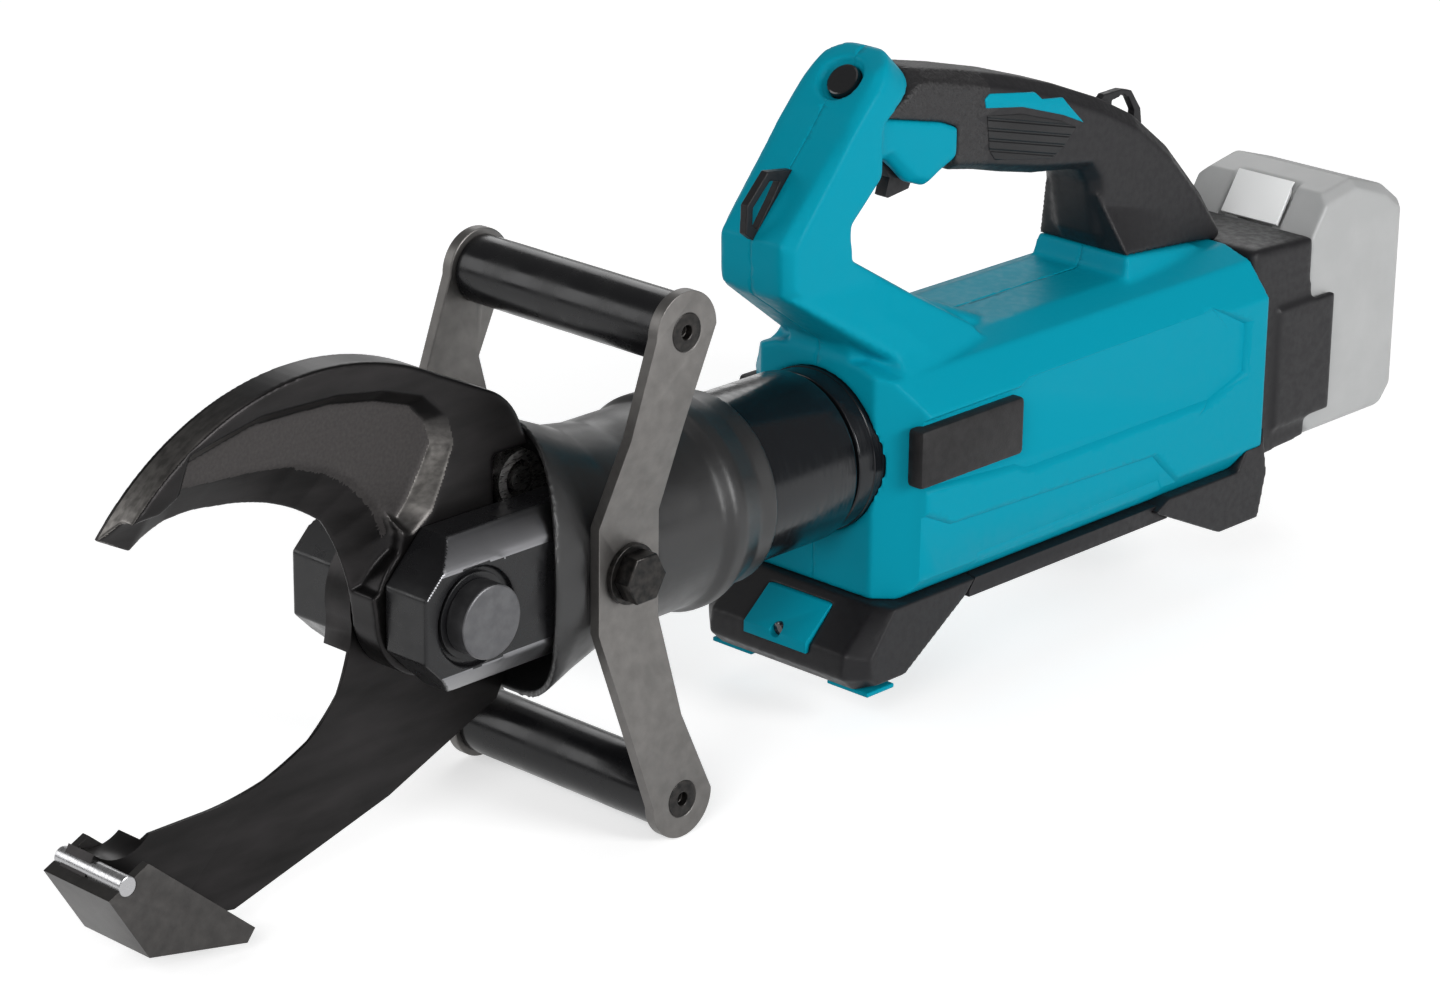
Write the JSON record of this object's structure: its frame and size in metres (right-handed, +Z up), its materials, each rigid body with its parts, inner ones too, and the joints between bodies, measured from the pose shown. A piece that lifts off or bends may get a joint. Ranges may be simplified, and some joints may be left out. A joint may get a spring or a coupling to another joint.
{
  "type": "rescue cutter",
  "caption": "Battery rescue cutter with curved bypass blades on a fork head, a tip guard, a cross loop handle and a D-handle with trigger.",
  "frame": {"origin": "middle of the overall box, at its lowest point", "axes": "+X forward along the cylinder towards the blades, +Y to the side the upper blade is on, +Z up"},
  "size_m": [0.767, 0.12, 0.2845],
  "materials": {
    "blade_steel": "ground and bead-blasted tool steel",
    "fork_steel": "turned steel",
    "pin_steel": "ground steel",
    "chrome_rod": "polished chrome",
    "zinc_steel": "zinc plated",
    "loop_paint": "fine black powder coat",
    "grip_rubber": "soft black rubber",
    "boot_rubber": "matt black rubber",
    "cylinder_alloy": "hard anodised",
    "collar_black": "matt black",
    "shell_teal": "fine-grained moulded plastic",
    "trim_teal": "soft moulded rubber",
    "black_plastic": "fine-grained moulded plastic",
    "button_plastic": "smooth moulded plastic",
    "battery_plastic": "fine-grained moulded plastic",
    "lens": "clear lens",
    "dark_inside": "plain moulded plastic",
    "copper_parts": "wound and plated metal",
    "cell_wrap": "wrapped metal can",
    "drive_steel": "machined steel",
    "pump_alloy": "machined alloy"
  },
  "bodies": {
    "body": {"base_rails": "black_plastic", "battery_bracket": "black_plastic", "control_board": "dark_inside", "cylinder_collar": "collar_black", "cylinder_tube": "cylinder_alloy", "foot_pads": "trim_teal", "fork_head": "fork_steel", "front_foot": "black_plastic", "front_strap_eye": "black_plastic", "gear_case": "pump_alloy", "handle_grip": "black_plastic", "housing_left": "shell_teal", "housing_right": "shell_teal", "housing_screws": "zinc_steel", "lamp_cover": "shell_teal", "lamp_lens": "lens", "loop_bolts": "zinc_steel", "loop_grip_lower": "grip_rubber", "loop_grip_upper": "grip_rubber", "loop_plate_left": "loop_paint", "loop_plate_right": "loop_paint", "loop_screws": "zinc_steel", "loop_washers": "zinc_steel", "motor_stator": "copper_parts", "oil_reservoir": "dark_inside", "pin_rings": "drive_steel", "pivot_pin": "pin_steel", "pump_block": "pump_alloy", "pump_plunger": "drive_steel", "rear_foot": "black_plastic", "rear_strap_eye": "black_plastic", "rubber_boot": "boot_rubber", "side_pad_left": "black_plastic", "side_pad_right": "black_plastic", "switch_unit": "dark_inside", "terminal_block": "copper_parts", "trigger_axle": "pin_steel"},
    "upper_jaw": {"upper_blade": "blade_steel", "upper_link_pin": "pin_steel"},
    "lower_jaw": {"lower_blade": "blade_steel", "lower_link_pin": "pin_steel", "tip_guard": "blade_steel", "guard_pins": "pin_steel"},
    "rod": {"piston_rod": "chrome_rod", "piston": "drive_steel", "crosshead_pin": "pin_steel"},
    "upper_link_bar": {"upper_link": "drive_steel"},
    "lower_link_bar": {"lower_link": "drive_steel"},
    "trigger_lever": {"trigger": "black_plastic", "lock_axle": "pin_steel"},
    "lock_tab": {"trigger_lock": "black_plastic"},
    "button": {"release_button": "button_plastic"},
    "battery": {"battery_case": "battery_plastic", "battery_cells": "cell_wrap"},
    "battery_latch": {"battery_latch_button": "button_plastic"},
    "motor": {"motor_rotor": "drive_steel", "motor_fan": "dark_inside"},
    "eccentric": {"eccentric_shaft": "drive_steel", "drive_gear": "drive_steel"}
  },
  "joints": [
    {"name": "upper_jaw_pivot", "type": "hinge", "parent": "body", "child": "upper_jaw", "pos_m": [0.2165, 0, 0.1145], "axis": [0, 1, 0], "range_deg": [0, 34]},
    {"name": "lower_jaw_pivot", "type": "hinge", "parent": "body", "child": "lower_jaw", "pos_m": [0.2165, 0, 0.1145], "axis": [0, 1, 0], "range_deg": [-34, 0]},
    {"name": "rod_slide", "type": "slide", "parent": "body", "child": "rod", "axis": [1, 0, 0], "range_m": [0, 0.0479]},
    {"name": "upper_link_pivot", "type": "hinge", "parent": "rod", "child": "upper_link_bar", "pos_m": [0.11411, 0, 0.1145], "axis": [0, 1, 0], "range_deg": [-24.3, 0]},
    {"name": "lower_link_pivot", "type": "hinge", "parent": "rod", "child": "lower_link_bar", "pos_m": [0.11411, 0, 0.1145], "axis": [0, 1, 0], "range_deg": [0, 24.3]},
    {"name": "trigger_pivot", "type": "hinge", "parent": "body", "child": "trigger_lever", "pos_m": [-0.0755, 0, 0.2345], "axis": [0, -1, 0], "range_deg": [0, 5], "stiffness_Nm_per_rad": 0.6, "springref_deg": -8.59},
    {"name": "lock_tab_pivot", "type": "hinge", "parent": "trigger_lever", "child": "lock_tab", "pos_m": [-0.0675, 0, 0.229], "axis": [0, -1, 0], "range_deg": [0, 8], "stiffness_Nm_per_rad": 0.05, "springref_deg": -11.46},
    {"name": "release_button_slide", "type": "slide", "parent": "body", "child": "button", "axis": [-0.7242, 0, -0.6896], "range_m": [0, 0.003], "stiffness_N_per_m": 400, "springref_m": -0.002},
    {"name": "battery_slide", "type": "slide", "parent": "body", "child": "battery", "axis": [0, 0, 1], "range_m": [0, 0.08]},
    {"name": "battery_latch_slide", "type": "slide", "parent": "battery", "child": "battery_latch", "axis": [0, 0, -1], "range_m": [0, 0.004], "stiffness_N_per_m": 400, "springref_m": -0.002},
    {"name": "motor_spin", "type": "hinge", "parent": "body", "child": "motor", "pos_m": [-0.1435, 0, 0.0905], "axis": [1, 0, 0], "continuous": true},
    {"name": "eccentric_spin", "type": "hinge", "parent": "body", "child": "eccentric", "pos_m": [-0.0935, 0, 0.1145], "axis": [1, 0, 0], "continuous": true}
  ],
  "couplings": [
    {"joint": "lower_jaw_pivot", "follows": "upper_jaw_pivot", "ratio": -1},
    {"joint": "rod_slide", "follows": "upper_jaw_pivot", "m_per_rad": 0.0805},
    {"joint": "upper_link_pivot", "follows": "upper_jaw_pivot", "ratio": -0.71},
    {"joint": "lower_link_pivot", "follows": "upper_jaw_pivot", "ratio": 0.71},
    {"joint": "eccentric_spin", "follows": "motor_spin", "ratio": -0.33333}
  ]
}
